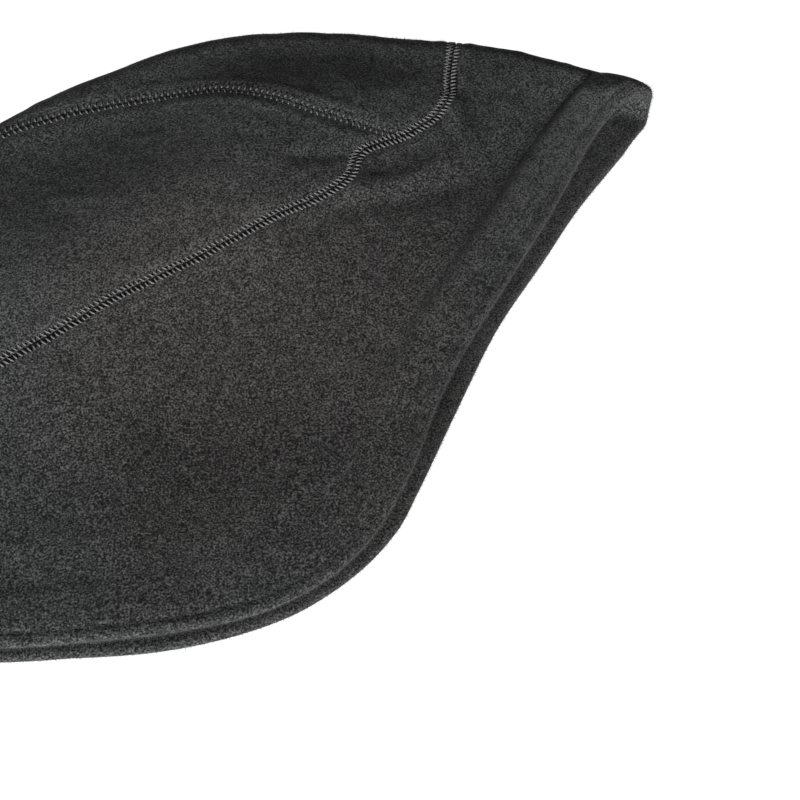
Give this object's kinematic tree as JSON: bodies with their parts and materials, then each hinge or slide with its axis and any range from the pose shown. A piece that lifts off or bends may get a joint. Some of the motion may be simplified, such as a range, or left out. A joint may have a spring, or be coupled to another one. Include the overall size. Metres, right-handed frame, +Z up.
{
  "type": "thermal hat",
  "caption": "Fleece skull cap with ear flaps and a turned-in hem, lying flat on its side with the head opening along one edge.",
  "frame": {"origin": "under the middle of the cap's box, on the surface that it lies on", "axes": "+Z up from the surface, through both layers of the flat cap; +X towards the brow; +Y towards the crown"},
  "size_m": [0.2486, 0.217, 0.0271],
  "materials": {
    "fleece": "charcoal polyester fleece with a short clumped nap"
  },
  "bodies": {
    "root": {"crown_centre_gore": "fleece", "crown_side_upper": "fleece", "crown_side_lower": "fleece", "ear_band": "fleece", "hem": "fleece"}
  },
  "joints": []
}
